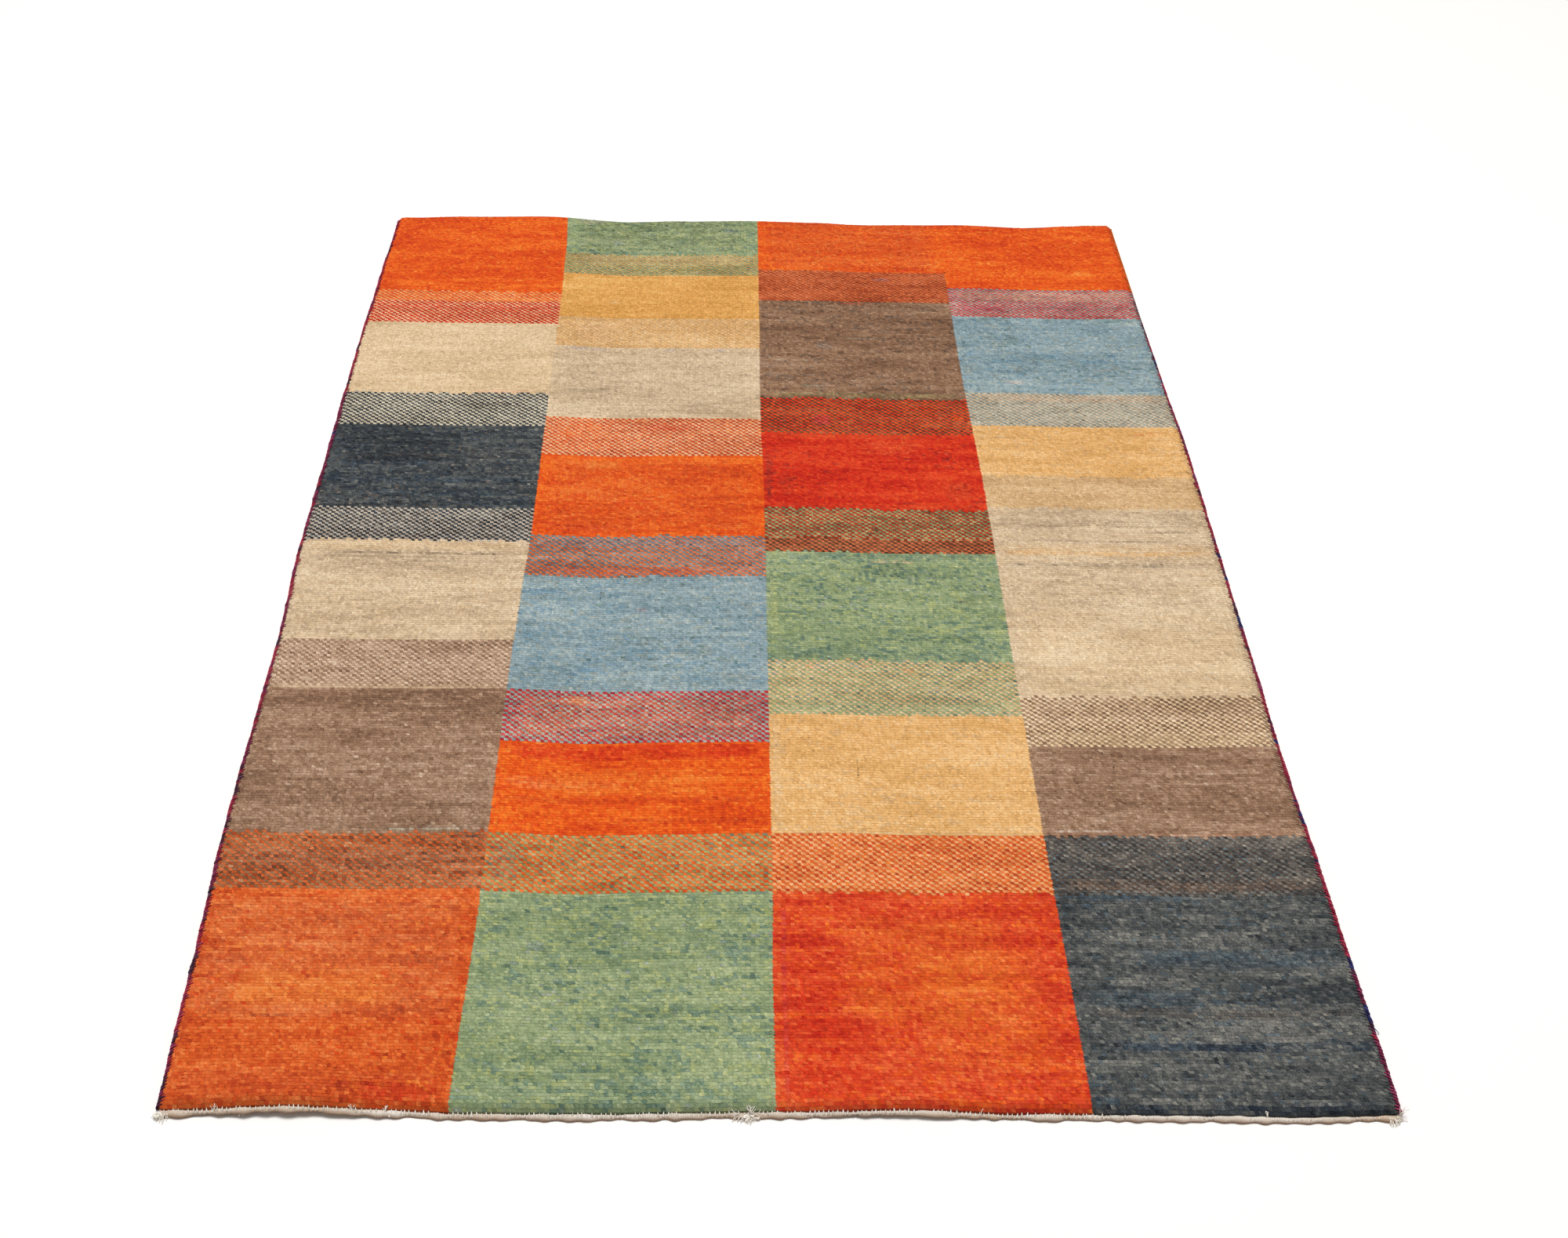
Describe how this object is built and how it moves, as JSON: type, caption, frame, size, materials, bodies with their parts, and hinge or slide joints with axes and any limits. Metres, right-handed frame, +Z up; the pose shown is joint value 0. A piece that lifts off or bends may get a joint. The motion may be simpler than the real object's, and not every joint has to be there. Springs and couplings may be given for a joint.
{
  "type": "knotted pile rug",
  "caption": "Flat rectangular hand-knotted wool pile rug with overcast long sides and a white warp end, laid out on a floor.",
  "frame": {"origin": "centre of the rug's underside, on the floor", "axes": "+X to the right across the rug's width, +Y along its length from the near white warp end to the far end, +Z up out of the pile"},
  "size_m": [1.2079, 1.7263, 0.0157],
  "materials": {
    "pile": "matt wool pile of hand-tied knots, in blocks of orange, red, gold, cream, brown, sage green, sky blue and charcoal with mixed bands between them",
    "selvedge": "matt crimson and navy wool yarn, overcast round the side cords",
    "warp": "matt undyed white yarn, turned back and frayed"
  },
  "bodies": {
    "root": {"pile_field": "pile", "selvedge_left": "selvedge", "selvedge_right": "selvedge", "warp_end_near": "warp"}
  },
  "joints": []
}
